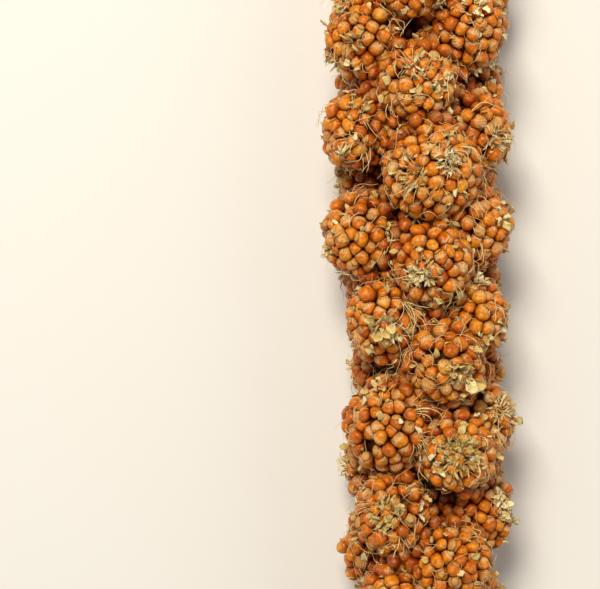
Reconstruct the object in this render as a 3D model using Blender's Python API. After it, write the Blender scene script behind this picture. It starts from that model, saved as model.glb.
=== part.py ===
"""A foxtail millet seed head, cut from its plant and lying on its side.

The stalk runs along Y at a constant height, from its cut end at +Y to the tip at -Y. Whorls of three
grain clusters stand round it, each whorl turned half a step from the one before, with some clusters off
that rule, and one last cluster closes the tip. A cluster is one body: a short neck towards the stalk, a
core, and grains raised from the core by a formula, with a few stiff bristles between them. Metres, +Z up,
the floor at z = 0.
"""

import math
from itertools import pairwise

import bmesh
import bpy
import numpy as np
from mathutils import Matrix, Vector

# The head
WHORLS = 19
CLUSTERS_PER_WHORL = 3
WHORL_PITCH = 0.0065  # between full-size whorls
BASE_PITCH_EXTRA = 0.0012  # the lowest whorls stand further apart
TWIST_PER_WHORL = math.radians(3.0)  # on top of half a step
MIDDLE_WHORL_TURN = math.radians(-49.0)  # from straight up towards +X
LAST_CLUSTER_AHEAD = 0.0048
BARE_STALK = 0.030
SIDEWAYS_BOW = 0.0025
SWAY = 0.0014  # a slow wave on top of the bow
SWAY_LENGTH = 0.093
SWAY_START = 0.0892
AXIS_HEIGHT = 0.0117

# The stalk
STALK_RADIUS = 0.0017
STALK_TIP_RADIUS = 0.0008
STALK_POINTS = 18

# One full-size cluster
CLUSTER_FROM_AXIS = 0.0079
CLUSTER_HALF_LENGTH = 0.0061
CLUSTER_HALF_WIDTH = 0.0056
CLUSTER_HALF_DEPTH = 0.0051
CLUSTER_LEAN = math.radians(12.0)
BASE_SIZE = 0.80  # clusters at the base and at the tip, as shares of a full-size one
TIP_SIZE = 0.58
NECK_LENGTH = 0.0042
NECK_START = math.radians(135.0)  # angles here are from straight outwards
NECK_RADIUS = 1.60  # a share of the half sizes; the stalk's clearance cuts it short
NECK_RINGS = ((math.radians(143.0), 5), (math.radians(175.0), 2))  # angle, number of cells

# Clusters that grew off the rule: degrees round the stalk, metres outwards, metres ahead, share of size
OFF_THE_RULE = {
    13: (6, 0.0, 0.0, 1.0),
    15: (-18, -0.0006, 0.0, 1.0),
    16: (8, 0.0006, 0.0, 1.0),
    18: (-7, 0.0007, 0.0, 0.95),
    20: (-22, -0.0006, 0.0, 1.0),
    21: (10, 0.0004, -0.0010, 1.19),
    23: (-9, 0.0007, 0.0005, 1.02),
    25: (-28, -0.0008, 0.0, 1.0),
    26: (-2, 0.0, -0.0020, 0.94),
    28: (0, 0.0, 0.0, 0.93),
    29: (-14, -0.0006, -0.0010, 0.92),
    31: (3, 0.0, -0.0012, 0.94),
    33: (-26, -0.0008, 0.0, 1.0),
    34: (0, -0.0008, 0.0, 0.88),
    36: (0, 0.0, 0.0004, 1.10),
    38: (-24, -0.0006, 0.0, 1.0),
    39: (8, 0.0, -0.0030, 0.92),
    41: (0, 0.0, -0.0009, 0.96),
    42: (0, -0.0010, 0.0, 0.96),
    43: (-20, -0.0006, 0.0, 1.0),
}

# Its grains and bristles
GRAINS = 26
GRAIN_CAP = math.radians(112.0)
GRAIN_JITTER = 0.04
CROWN_SPREAD = 0.55
VALLEY_DEPTH = 0.22  # a share of the half sizes
BRISTLES = 4
BRISTLE_LENGTH = 0.0042
BRISTLE_ROOT = 0.00022
BRISTLE_REACH = math.radians(80.0)
PLAIN_CELL, GRAIN_CELL, BRISTLE_CELL = range(3)

# Room kept free
GAP = 0.0003
STALK_GAP = 0.0004
BRISTLE_FLOOR_GAP = 0.0006

# Random variation
SEED = 7
TURN_JITTER = math.radians(5.0)
RISE_JITTER = 0.0006
SIZE_JITTER = 0.06

GOLDEN_ANGLE = math.pi * (3.0 - math.sqrt(5.0))
TOWARDS_TIP = Vector((0.0, -1.0, 0.0))
UP = Vector((0.0, 0.0, 1.0))


def clear_scene():
    for obj in list(bpy.data.objects):
        bpy.data.objects.remove(obj, do_unlink=True)


def make_material(name, colour, roughness):
    """A plain Principled material, with no metal in it."""
    material = bpy.data.materials.new(name)
    material.use_nodes = True
    shader = material.node_tree.nodes["Principled BSDF"]
    shader.inputs["Base Color"].default_value = (*colour, 1.0)
    shader.inputs["Roughness"].default_value = roughness
    shader.inputs["Metallic"].default_value = 0.0
    return material


def size_along(share):
    """How large a cluster is at this share of the head, from its base (0) to its tip (1)."""
    base_end, tip_start = 0.18, 0.66
    if share < base_end:
        return BASE_SIZE + (1.0 - BASE_SIZE) * math.sin(0.5 * math.pi * share / base_end)
    if share > tip_start:
        past = (share - tip_start) / (1.0 - tip_start)
        return 1.0 - (1.0 - TIP_SIZE) * past**1.6
    return 1.0


def whorl_distances():
    """Each whorl's distance from the cut end. The pitch shrinks with the clusters."""
    distances = [BARE_STALK]
    for whorl in range(1, WHORLS):
        share = whorl / (WHORLS - 1)
        extra = BASE_PITCH_EXTRA * max(0.0, 1.0 - 5.0 * share)
        distances.append(distances[-1] + WHORL_PITCH * size_along(share) + extra)
    return distances


def axis_point(distance, length):
    """The stalk's centre line: towards the tip, bowed sideways as half a sine wave, with a slower sway."""
    bow = SIDEWAYS_BOW * math.sin(math.pi * distance / length)
    sway = SWAY * math.sin(2.0 * math.pi * (distance - SWAY_START) / SWAY_LENGTH)
    return Vector((bow + sway, -distance, AXIS_HEIGHT))


def stalk_radius(distance, length):
    return STALK_RADIUS + (STALK_TIP_RADIUS - STALK_RADIUS) * (distance / length) ** 1.5


def place_clusters():
    """Where each cluster is, as a list of dictionaries, and the distance from the cut end to the last one.

    centre is the cluster's middle, and outward points away from the stalk. reach is how far back from
    its middle the neck may come.
    """
    rng = np.random.default_rng(SEED)
    distances = whorl_distances()
    length = distances[-1] + LAST_CLUSTER_AHEAD
    clusters = []
    middle = (WHORLS - 1) / 2
    for whorl, distance in enumerate(distances):
        share = whorl / (WHORLS - 1)
        for member in range(CLUSTERS_PER_WHORL):
            step = 2.0 * math.pi / CLUSTERS_PER_WHORL
            turn = MIDDLE_WHORL_TURN + member * step
            turn += (whorl - middle) * (step / 2.0 + TWIST_PER_WHORL)
            degrees, further_out, ahead, bigger = OFF_THE_RULE.get(len(clusters) + 1, (0, 0.0, 0.0, 1.0))
            turn += TURN_JITTER * rng.uniform(-1.0, 1.0) + math.radians(degrees)
            size = size_along(share) * (1.0 + SIZE_JITTER * rng.uniform(-1.0, 1.0)) * bigger
            along = distance + RISE_JITTER * rng.uniform(-1.0, 1.0) + ahead
            outward = Vector((math.sin(turn), 0.0, math.cos(turn)))
            from_axis = CLUSTER_FROM_AXIS * size_along(share) + further_out
            clusters.append(
                {
                    "centre": axis_point(along, length) + outward * from_axis,
                    "outward": outward,
                    "lean": CLUSTER_LEAN,
                    "size": size,
                    "reach": from_axis - stalk_radius(along, length) - STALK_GAP,
                }
            )
    clusters.append(
        {
            "centre": axis_point(length, length),
            "outward": TOWARDS_TIP,
            "lean": 0.0,
            "size": TIP_SIZE,
            "reach": NECK_LENGTH * TIP_SIZE,
        }
    )
    return clusters, length


def limit_planes(cluster, clusters):
    """The half-spaces that a cluster stays in, as (normal, distance from its centre).

    They lie half a gap short of the middle between it and each neighbour, and clear of the stalk.
    """
    planes = [(-cluster["outward"], cluster["reach"])]
    for other in clusters:
        apart = other["centre"] - cluster["centre"]
        if other is cluster or apart.length > 4.0 * CLUSTER_HALF_LENGTH:
            continue
        share = cluster["size"] / (cluster["size"] + other["size"])
        planes.append((apart.normalized(), apart.length * share - GAP / 2.0))
    return planes


def held_back(offset, planes):
    """offset, drawn in towards the cluster's centre until it is inside every plane."""
    keep = 1.0
    for normal, distance in planes:
        out = offset.dot(normal)
        if out > distance:
            keep = min(keep, distance / out)
    return offset * keep


def tilted(direction, azimuth, angle):
    """direction turned by angle, towards azimuth round it."""
    side = direction.orthogonal().normalized()
    axis = Matrix.Rotation(azimuth, 3, direction) @ side
    return Matrix.Rotation(angle, 3, axis) @ direction


def grain_directions(rng):
    """Directions of the grains, spread by the golden angle over the outer cap, +Z outwards."""
    phase = rng.uniform(0.0, 2.0 * math.pi)
    directions = []
    for i in range(GRAINS):
        cos_polar = 1.0 - (1.0 - math.cos(GRAIN_CAP)) * (i + 0.5) / GRAINS
        sin_polar = math.sqrt(1.0 - cos_polar**2)
        azimuth = phase + i * GOLDEN_ANGLE
        spot = Vector((sin_polar * math.cos(azimuth), sin_polar * math.sin(azimuth), cos_polar))
        spot += Vector(rng.uniform(-GRAIN_JITTER, GRAIN_JITTER, 3))
        directions.append(spot.normalized())
    return directions


def neck_directions():
    """Directions of the plain cells on the side towards the stalk."""
    return [
        tilted(UP, 2.0 * math.pi * i / count, polar)
        for polar, count in NECK_RINGS
        for i in range(count)
    ]


def cells_of(directions):
    """A bmesh of the unit sphere with one face round each direction, in the same order.

    It is the dual of the directions' convex hull: a corner where three directions are equally near.
    """
    hull = bmesh.new()
    around = [hull.verts.new(direction) for direction in directions]
    bmesh.ops.convex_hull(hull, input=around)
    bmesh.ops.recalc_face_normals(hull, faces=hull.faces)
    cells = bmesh.new()
    corners = {face: cells.verts.new(face.normal) for face in hull.faces}
    for vertex in around:
        first = loop = vertex.link_loops[0]
        ring = []
        while not ring or loop != first:
            ring.append(corners[loop.face])
            loop = loop.link_loop_prev.link_loop_radial_next
        cells.faces.new(ring)
    hull.free()
    return cells


def mean_of(vertices):
    return sum((vertex.co for vertex in vertices), Vector()) / len(vertices)


def raise_crown(bm, cell):
    """Replaces a cell by a smaller triangle joined to its corners, and gives the new vertices."""
    ring = list(cell.verts)
    middle = mean_of(ring)
    starts = [len(ring) * k // 3 for k in range(4)]
    arcs = [[ring[i % len(ring)] for i in range(a, b + 1)] for a, b in pairwise(starts)]
    crown = [bm.verts.new(middle.lerp(mean_of(arc), CROWN_SPREAD)) for arc in arcs]
    bm.faces.remove(cell)
    for k, arc in enumerate(arcs):
        for corner, following in pairwise(arc):
            bm.faces.new((corner, following, crown[k]))
        bm.faces.new((crown[k], arc[-1], crown[(k + 1) % 3]))
    bm.faces.new(crown)
    return crown


def cluster_cells(rng):
    """The cells of one cluster as a bmesh, with the vertices that are grain crowns and bristle tips.

    A bristle stands on a small triangle cut from a corner between three grains.
    """
    bm = cells_of([*grain_directions(rng), *neck_directions()])
    for number, cell in enumerate(bm.faces):
        cell.material_index = GRAIN_CELL if number < GRAINS else PLAIN_CELL
    outer = [v for v in bm.verts if v.co.z > math.cos(BRISTLE_REACH)]
    chosen = rng.choice(len(outer), BRISTLES, replace=False)
    bmesh.ops.bevel(
        bm,
        geom=[outer[i] for i in chosen],
        offset=BRISTLE_ROOT / CLUSTER_HALF_WIDTH,
        offset_type="OFFSET",
        affect="VERTICES",
        segments=1,
        profile=0.5,
        material=BRISTLE_CELL,
    )
    roots = [cell for cell in bm.faces if cell.material_index == BRISTLE_CELL]
    tips = set(bmesh.ops.poke(bm, faces=roots)["verts"])
    grains = [cell for cell in bm.faces if cell.material_index == GRAIN_CELL]
    crowns = {vertex for cell in grains for vertex in raise_crown(bm, cell)}
    for face in bm.faces:
        face.material_index = PLAIN_CELL
    return bm, crowns, tips


def cluster_axes(cluster):
    """Columns: across the cluster, along it and out of it, with its lean towards the tip."""
    outward = cluster["outward"]
    along = UP if abs(outward.dot(TOWARDS_TIP)) > 0.9 else TOWARDS_TIP
    across = along.cross(outward).normalized()
    lean = Matrix.Rotation(cluster["lean"], 3, across)
    return Matrix((across, lean @ along, lean @ outward)).transposed()


def build_cluster(name, cluster, clusters, rng, material):
    """One cluster: cells whose points are raised to the relief, then held in the cluster's room."""
    bm, crowns, tips = cluster_cells(rng)
    axes = cluster_axes(cluster)
    planes = limit_planes(cluster, clusters)
    half_sizes = Vector((CLUSTER_HALF_WIDTH, CLUSTER_HALF_LENGTH, CLUSTER_HALF_DEPTH)) * cluster["size"]
    for vertex in bm.verts:
        direction = vertex.co.normalized()
        in_neck = direction.z < math.cos(NECK_START)
        radius = NECK_RADIUS if in_neck else 1.0 if vertex in crowns else 1.0 - VALLEY_DEPTH
        offset = axes @ (direction * half_sizes * radius)
        floor_gap = 0.0
        if vertex in tips:
            offset += offset.normalized() * BRISTLE_LENGTH * rng.uniform(0.7, 1.0)
            floor_gap = BRISTLE_FLOOR_GAP
        offset = held_back(offset, planes)
        room_below = cluster["centre"].z - floor_gap
        on_floor = offset.z < -room_below
        if on_floor:
            offset *= room_below / -offset.z
        vertex.co = cluster["centre"] + offset
        if on_floor:
            vertex.co.z = floor_gap
    mesh = bpy.data.meshes.new(name)
    bm.to_mesh(mesh)
    bm.free()
    mesh.materials.append(material)
    mesh.shade_smooth()
    return bpy.data.objects.new(name, mesh)


def build_stalk(length, material):
    """The stalk: a tapering rod along the axis, cut square at its base, ending under the last cluster."""
    curve = bpy.data.curves.new("stalk", "CURVE")
    curve.dimensions = "3D"
    curve.bevel_depth = 1.0
    curve.bevel_resolution = 3
    curve.use_fill_caps = True
    spline = curve.splines.new("POLY")
    spline.points.add(STALK_POINTS - 1)
    rod_length = length - NECK_LENGTH * TIP_SIZE - STALK_GAP
    for i, point in enumerate(spline.points):
        distance = rod_length * i / (STALK_POINTS - 1)
        point.co = (*axis_point(distance, length), 1.0)
        point.radius = stalk_radius(distance, length)
    curve.materials.append(material)
    return bpy.data.objects.new("stalk", curve)


def centre_on_origin(root, parts):
    """Moves the whole head so that the middle of its box is over the origin."""
    bpy.context.view_layer.update()
    graph = bpy.context.evaluated_depsgraph_get()
    corners = np.array(
        [part.matrix_world @ Vector(c) for part in parts for c in part.evaluated_get(graph).bound_box]
    )
    middle = (corners.min(axis=0) + corners.max(axis=0)) / 2.0
    root.location = (-middle[0], -middle[1], 0.0)


def main():
    clear_scene()
    grain_material = make_material("grain", (0.62, 0.22, 0.04), 0.36)
    stalk_material = make_material("stalk", (0.55, 0.43, 0.22), 0.70)
    clusters, length = place_clusters()
    rng = np.random.default_rng(SEED)
    parts = [build_stalk(length, stalk_material)]
    for number, cluster in enumerate(clusters, start=1):
        name = f"cluster_{number:02d}"
        parts.append(build_cluster(name, cluster, clusters, rng, grain_material))
    collection = bpy.data.collections.new("millet_seed_head")
    bpy.context.scene.collection.children.link(collection)
    root = bpy.data.objects.new("millet_seed_head_root", None)
    for obj in [root, *parts]:
        collection.objects.link(obj)
    for part in parts:
        part.parent = root
    centre_on_origin(root, parts)


main()
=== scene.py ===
import math

import bmesh
import bpy
import numpy as np
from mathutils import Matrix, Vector


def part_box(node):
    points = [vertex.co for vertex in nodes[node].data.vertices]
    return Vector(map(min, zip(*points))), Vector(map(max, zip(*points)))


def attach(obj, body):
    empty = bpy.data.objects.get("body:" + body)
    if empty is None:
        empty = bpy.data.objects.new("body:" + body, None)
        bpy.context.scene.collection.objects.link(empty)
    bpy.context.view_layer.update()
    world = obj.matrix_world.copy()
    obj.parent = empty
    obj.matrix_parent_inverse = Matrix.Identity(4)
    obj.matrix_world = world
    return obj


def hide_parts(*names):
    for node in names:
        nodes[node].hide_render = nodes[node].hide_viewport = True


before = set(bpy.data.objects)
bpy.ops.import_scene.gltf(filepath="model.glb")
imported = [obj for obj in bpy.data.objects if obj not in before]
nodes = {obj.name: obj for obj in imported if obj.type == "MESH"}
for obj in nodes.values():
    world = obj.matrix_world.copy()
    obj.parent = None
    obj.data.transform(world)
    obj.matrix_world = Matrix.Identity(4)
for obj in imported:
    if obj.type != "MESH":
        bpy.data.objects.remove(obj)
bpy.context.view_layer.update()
clusterNames = sorted(name for name in nodes if name.startswith("cluster_"))
goldenAngle = math.pi * (3.0 - math.sqrt(5.0))
towardsTip = np.array((0.0, -1.0, 0.0))
phases = (0.0, 6.3)  # what a wave's random phase is drawn from


def pointsOf(node):
    # A CAD node's vertices, each place once.
    flat = np.empty(len(node.data.vertices) * 3, np.float32)
    node.data.vertices.foreach_get("co", flat)
    return np.unique(flat.reshape(-1, 3).round(6), axis=0).astype(float)


def unit(vectors):
    return vectors / np.linalg.norm(vectors, axis=-1, keepdims=True)


stalkPoints = pointsOf(nodes["stalk"])
stalkCurve = np.polynomial.Polynomial.fit(stalkPoints[:, 1], stalkPoints[:, 0], 8)
stalkHeight = (stalkPoints[:, 2].min() + stalkPoints[:, 2].max()) / 2.0


def stalkAxis(along):
    # The stalk's centre line at these Y: x from a curve through its vertices, z constant.
    return np.stack([stalkCurve(along), along, np.full_like(along, stalkHeight)], axis=-1)


# Camera, light and floor

cameraLook = {
    "middleCluster": "cluster_28",
    "clusterPixel": (379.0, 320.0),  # where its middle is in the picture
    "pictureSize": (600.0, 589.0),
    "frameWidth": 0.080,  # what the picture spans at the height of the upper clusters
    "height": 0.018,
    "lens": 100.0,
    "clip": (0.01, 10.0),
}


def addCamera(look):
    # Straight down, with the picture's top towards +Y. distance = lens / sensor width x frame width.
    low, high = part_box(look["middleCluster"])
    middle = (low + high) / 2.0
    width, height = look["pictureSize"]
    perPixel = look["frameWidth"] / width
    camera = bpy.data.cameras.new("camera")
    camera.lens = look["lens"]
    camera.clip_start, camera.clip_end = look["clip"]
    holder = bpy.data.objects.new("camera", camera)
    distance = camera.lens / camera.sensor_width * look["frameWidth"]
    across = middle.x - (look["clusterPixel"][0] - width / 2.0) * perPixel
    along = middle.y + (look["clusterPixel"][1] - height / 2.0) * perPixel
    holder.location = (across, along, look["height"] + distance)
    bpy.context.scene.collection.objects.link(holder)
    bpy.context.scene.camera = holder


lightLook = {
    "key": {"place": (-0.10, 0.22, 0.46), "size": 0.17, "power": 2.80, "colour": (1.0, 0.93, 0.79)},
    "fill": {"place": (0.38, -0.02, 0.34), "size": 0.45, "power": 0.72, "colour": (1.0, 0.96, 0.89)},
    "back": {"place": (-0.30, -0.30, 0.30), "size": 0.35, "power": 0.4, "colour": (1.0, 0.97, 0.94)},
    "sky": 0.14,
    "skyColour": (1.0, 0.98, 0.95, 1.0),
}


def addLights(look):
    for name in ("key", "fill", "back"):
        one = look[name]
        light = bpy.data.lights.new(name, "AREA")
        light.size = one["size"]
        light.energy = one["power"]
        light.color = one["colour"]
        holder = bpy.data.objects.new(name, light)
        holder.location = one["place"]
        holder.rotation_euler = (-Vector(one["place"])).to_track_quat("-Z", "Y").to_euler()
        bpy.context.scene.collection.objects.link(holder)
    world = bpy.data.worlds.new("studio")
    world.use_nodes = True
    background = world.node_tree.nodes["Background"]
    background.inputs["Color"].default_value = look["skyColour"]
    background.inputs["Strength"].default_value = look["sky"]
    bpy.context.scene.world = world


# Shader building

def setInput(tree, socket, value):
    # Joins an input to another node's output, or gives it a value.
    if isinstance(value, bpy.types.NodeSocket):
        tree.links.new(value, socket)
    else:
        socket.default_value = value


def addNode(tree, kind, inputs=None, **settings):
    # A node in the next free place of a grid, nine in a row.
    node = tree.nodes.new(kind)
    row, column = divmod(len(tree.nodes), 9)
    node.location = (190.0 * column, -260.0 * row)
    for name, value in settings.items():
        setattr(node, name, value)
    for name, value in (inputs or {}).items():
        setInput(tree, node.inputs[name], value)
    return node


def math2(tree, operation, first, second=0.0):
    return addNode(tree, "ShaderNodeMath", {0: first, 1: second}, operation=operation).outputs[0]


def times(tree, first, second):
    return math2(tree, "MULTIPLY", first, second)


def minus(tree, first, second):
    return math2(tree, "SUBTRACT", first, second)


def smoothStep(tree, value, low, high):
    # 0 below low, 1 above high, and smooth between.
    inputs = {"Value": value, "From Min": low, "From Max": high}
    node = addNode(tree, "ShaderNodeMapRange", inputs, interpolation_type="SMOOTHSTEP", clamp=True)
    return node.outputs[0]


def mixColour(tree, factor, first, second, blend="MIX"):
    # A Mix node's input 0 is its factor, and 6 and 7 are its colours.
    inputs = {0: factor, 6: first, 7: second}
    return addNode(tree, "ShaderNodeMix", inputs, data_type="RGBA", blend_type=blend).outputs[2]


def tinted(tree, colour, by, factor=1.0):
    return mixColour(tree, factor, colour, by, "MULTIPLY")


def noise(tree, inputs, **settings):
    return addNode(tree, "ShaderNodeTexNoise", inputs, **settings).outputs[0]


def swing(tree, value, amount):
    # A value from 0 to 1 as one from -1/2 to 1/2, times the amount.
    return times(tree, minus(tree, value, 0.5), amount)


def ramp(tree, factor, stops):
    node = addNode(tree, "ShaderNodeValToRGB", {"Fac": factor})
    elements = node.color_ramp.elements
    while len(elements) < len(stops):
        elements.new(0.5)
    for element, (place, colour) in zip(elements, stops, strict=True):
        element.position = place
        element.color = (*colour, 1.0)
    return node.outputs["Color"]


def newGroup(name, inputs, outputs):
    # An empty node group with these sockets, as (its tree, its input node, its output node).
    tree = bpy.data.node_groups.new(name, "ShaderNodeTree")
    for socket, kind, value in inputs:
        made = tree.interface.new_socket(name=socket, in_out="INPUT", socket_type=kind)
        made.default_value = value
    for socket in outputs:
        tree.interface.new_socket(name=socket, in_out="OUTPUT", socket_type="NodeSocketFloat")
    return tree, tree.nodes.new("NodeGroupInput"), tree.nodes.new("NodeGroupOutput")


def useGroup(tree, name, **inputs):
    # A node group with these inputs, as its outputs.
    return addNode(tree, "ShaderNodeGroup", inputs, node_tree=groups[name]).outputs


def buildMottle():
    # Patches: noise stretched to 0..1. Tone is 1 +- Strength, to multiply a colour by.
    inputs = [
        ("Vector", "NodeSocketVector", (0.0, 0.0, 0.0)),
        ("Scale", "NodeSocketFloat", 800.0),
        ("Strength", "NodeSocketFloat", 0.2),
    ]
    tree, start, end = newGroup("mottle", inputs, ["Patches", "Tone"])
    given = {"Vector": start.outputs["Vector"], "Scale": start.outputs["Scale"]}
    patches = smoothStep(tree, noise(tree, {**given, "Detail": 4.0, "Roughness": 0.6}), 0.30, 0.70)
    spread = times(tree, swing(tree, patches, 2.0), start.outputs["Strength"])
    tree.links.new(patches, end.inputs["Patches"])
    tree.links.new(math2(tree, "ADD", spread, 1.0), end.inputs["Tone"])
    return tree


filmLook = {
    "slant": (0.8, 0.4),  # of the film's edge over the grain
    "wander": 1.3,  # how far noise moves the edge, and that noise's scale
    "wanderScale": 1.5,
    "edge": (-0.30, 0.08),  # where the film fades out, and where its rim starts
    "rim": (-0.32, -0.10),
    "creaseScale": 2.3,
    "creaseBend": 0.9,
    "creaseWidth": 0.075,
    "seedStep": 50.0,
}


def buildFilm(look):
    # The papery film on a grain. Place runs over a unit ball with +Z at the grain's tip. The film covers
    # the side where 0.8 Place.z - 0.4 Place.y is below Edge, moved by noise so that its rim wanders. Its
    # wrinkles are where a second noise is near its middle value.
    inputs = [
        ("Place", "NodeSocketVector", (0.0, 0.0, 0.0)),
        ("Edge", "NodeSocketFloat", 0.0),
        ("Seed", "NodeSocketFloat", 0.0),
    ]
    tree, start, end = newGroup("film", inputs, ["Film", "Rim", "Wrinkles"])
    parts = addNode(tree, "ShaderNodeSeparateXYZ", {0: start.outputs["Place"]}).outputs
    given = {"Vector": start.outputs["Place"], "W": times(tree, start.outputs["Seed"], look["seedStep"])}
    wander = noise(tree, {**given, "Scale": look["wanderScale"], "Detail": 3.0}, noise_dimensions="4D")
    slant = zip((parts[2], parts[1]), look["slant"], strict=True)
    slant = [times(tree, part, share) for part, share in slant]
    height = math2(tree, "ADD", minus(tree, *slant), swing(tree, wander, look["wander"]))
    above = minus(tree, height, start.outputs["Edge"])
    film = minus(tree, 1.0, smoothStep(tree, above, *look["edge"]))
    rim = times(tree, film, smoothStep(tree, above, *look["rim"]))
    given.update({"Scale": look["creaseScale"], "Detail": 2.0, "Distortion": look["creaseBend"]})
    creased = noise(tree, given, noise_dimensions="4D")
    fromCrease = math2(tree, "ABSOLUTE", minus(tree, creased, 0.5))
    tree.links.new(film, end.inputs["Film"])
    tree.links.new(rim, end.inputs["Rim"])
    tree.links.new(smoothStep(tree, fromCrease, look["creaseWidth"], 0.0), end.inputs["Wrinkles"])
    return tree


def buildFineLines():
    # Lines along Place.y, Count of them across Place.x from -1 to 1, bent a little by noise.
    inputs = [
        ("Place", "NodeSocketVector", (0.0, 0.0, 0.0)),
        ("Count", "NodeSocketFloat", 9.0),
        ("Wobble", "NodeSocketFloat", 0.15),
    ]
    tree, start, end = newGroup("fineLines", inputs, ["Lines"])
    bend = swing(tree, noise(tree, {"Vector": start.outputs["Place"], "Scale": 2.5}), start.outputs["Wobble"])
    parts = addNode(tree, "ShaderNodeSeparateXYZ", {0: start.outputs["Place"]}).outputs
    across = math2(tree, "ADD", parts[0], bend)
    turns = times(tree, times(tree, across, start.outputs["Count"]), math.pi)
    tree.links.new(smoothStep(tree, math2(tree, "SINE", turns), 0.1, 1.0), end.inputs["Lines"])
    return tree


groups = {"mottle": buildMottle(), "film": buildFilm(filmLook), "fineLines": buildFineLines()}


def newMaterial(name):
    material = bpy.data.materials.new(name)
    material.use_nodes = True
    tree = material.node_tree
    return material, tree, tree.nodes["Principled BSDF"]


def attribute(tree, name, output="Fac"):
    node = addNode(tree, "ShaderNodeAttribute", attribute_type="GEOMETRY", attribute_name=name)
    return node.outputs[output]


def objectMottle(tree, scale, strength=0.2):
    # The mottle group on the piece's own coordinates.
    place = addNode(tree, "ShaderNodeTexCoord").outputs["Object"]
    return useGroup(tree, "mottle", Vector=place, Scale=scale, Strength=strength)


def finishMaterial(tree, shader, paint, colour, relief, roughness=None):
    # The colour, the roughness and the relief, as bump, on the shader.
    distance, strength = paint["bump"]
    bump = addNode(tree, "ShaderNodeBump", {"Height": relief, "Distance": distance, "Strength": strength})
    tree.links.new(colour, shader.inputs["Base Color"])
    tree.links.new(bump.outputs["Normal"], shader.inputs["Normal"])
    setInput(tree, shader.inputs["Roughness"], paint["roughness"] if roughness is None else roughness)
    shader.inputs["Specular IOR Level"].default_value = paint["specular"]


grainPaint = {
    # Tone of a grain, from 0 to 1, to its colour
    "stops": [
        (0.00, (0.42, 0.088, 0.003)),
        (0.35, (0.60, 0.155, 0.005)),
        (0.70, (0.69, 0.225, 0.009)),
        (0.90, (0.70, 0.310, 0.024)),
        (1.00, (0.60, 0.500, 0.190)),
    ],
    # Painted shade: the foot colour darkens and reddens each grain towards its base, which sits lower in the
    # cluster
    "foot": (0.88, 0.66, 0.50, 1.0),  # multiplies the colour at the grain's base
    "footShadeRange": (0.5, -0.9),
    # Painted shade: multiplied in on the sides that face into the cluster, and on flank, crevice and inner
    # grains
    "paintedShade": (0.44, 0.23, 0.11, 1.0),  # and on the sides that face into the cluster
    "paintedShadeRange": (-0.30, 0.80),
    "film": (0.80, 0.410, 0.085, 1.0),
    "filmThin": (0.70, 0.280, 0.028, 1.0),
    # Pale film edge and ridges: partly the film's own paler edge, partly painted highlight
    "paleRimAndHighlight": (0.93, 0.640, 0.290, 1.0),
    "rimOpacity": 0.8,
    "filmPale": (0.88, 0.570, 0.290, 1.0),
    "filmPaleScale": 420.0,  # of the patches where the film is paler, each a grain or two wide
    "filmPaleRange": (0.40, 0.95),
    "wrinkleStrength": 0.65,
    "filmOpacity": 0.74,
    "vein": (0.42, 0.150, 0.022, 1.0),
    "veinCount": 5.5,
    "veinStrength": 0.55,
    "mottleScale": 1900.0,
    "mottleStrength": 0.34,
    "roughness": 0.29,
    "filmRoughness": 0.45,
    "relief": {"creases": 0.9, "veins": 0.8, "mottle": 0.5},
    "bump": (0.00010, 0.7),
    "specular": 0.34,
}


def grainMaterial(paint):
    # The tone's colour, mottled, with painted shade that makes it redder and darker at the base and away from
    # the cluster's outside, and the veined papery film over part of it, its pale rim and ridges partly
    # painted highlight.
    material, tree, shader = newMaterial("grain")
    place = attribute(tree, "grainPlace", "Vector")
    tone = attribute(tree, "grainTone")
    mottle = objectMottle(tree, paint["mottleScale"], paint["mottleStrength"])
    skin = tinted(tree, ramp(tree, tone, paint["stops"]), mottle["Tone"])
    height = addNode(tree, "ShaderNodeSeparateXYZ", {0: place}).outputs[2]
    # Painted shade towards the grain's base
    skin = tinted(tree, skin, paint["foot"], smoothStep(tree, height, *paint["footShadeRange"]))
    film = useGroup(tree, "film", Place=place, Edge=attribute(tree, "filmEdge"), Seed=tone)
    lines = useGroup(tree, "fineLines", Place=place, Count=paint["veinCount"])
    filmColour = mixColour(tree, mottle["Patches"], paint["filmThin"], paint["film"])
    pale = objectMottle(tree, paint["filmPaleScale"])
    paleShare = smoothStep(tree, pale["Patches"], *paint["filmPaleRange"])
    filmColour = mixColour(tree, paleShare, filmColour, paint["filmPale"])
    veins = times(tree, lines["Lines"], paint["veinStrength"])
    filmColour = mixColour(tree, veins, filmColour, paint["vein"])
    # The wrinkle ridges and the film's rim in a pale colour that is partly painted highlight
    wrinkles = times(tree, film["Wrinkles"], paint["wrinkleStrength"])
    filmColour = mixColour(tree, wrinkles, filmColour, paint["paleRimAndHighlight"])
    skin = mixColour(tree, times(tree, film["Film"], paint["filmOpacity"]), skin, filmColour)
    skin = mixColour(tree, times(tree, film["Rim"], paint["rimOpacity"]), skin, paint["paleRimAndHighlight"])
    # Painted shade: darker and redder where the grain faces into the cluster or lies on a flank, in a crevice
    # or round the stalk
    outside = smoothStep(tree, attribute(tree, "heightForPaintedShade"), *paint["paintedShadeRange"])
    skin = tinted(tree, skin, mixColour(tree, outside, paint["paintedShade"], (1.0, 1.0, 1.0, 1.0)))
    inputs = {"Value": film["Film"], "To Min": paint["roughness"], "To Max": paint["filmRoughness"]}
    roughness = addNode(tree, "ShaderNodeMapRange", inputs).outputs[0]
    share = paint["relief"]
    creases = math2(tree, "ADD", times(tree, film["Wrinkles"], share["creases"]), 1.0)
    creases = minus(tree, creases, times(tree, lines["Lines"], share["veins"]))
    raised = times(tree, film["Film"], creases)
    relief = math2(tree, "ADD", raised, times(tree, mottle["Patches"], share["mottle"]))
    finishMaterial(tree, shader, paint, skin, relief, roughness)
    return material


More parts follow.
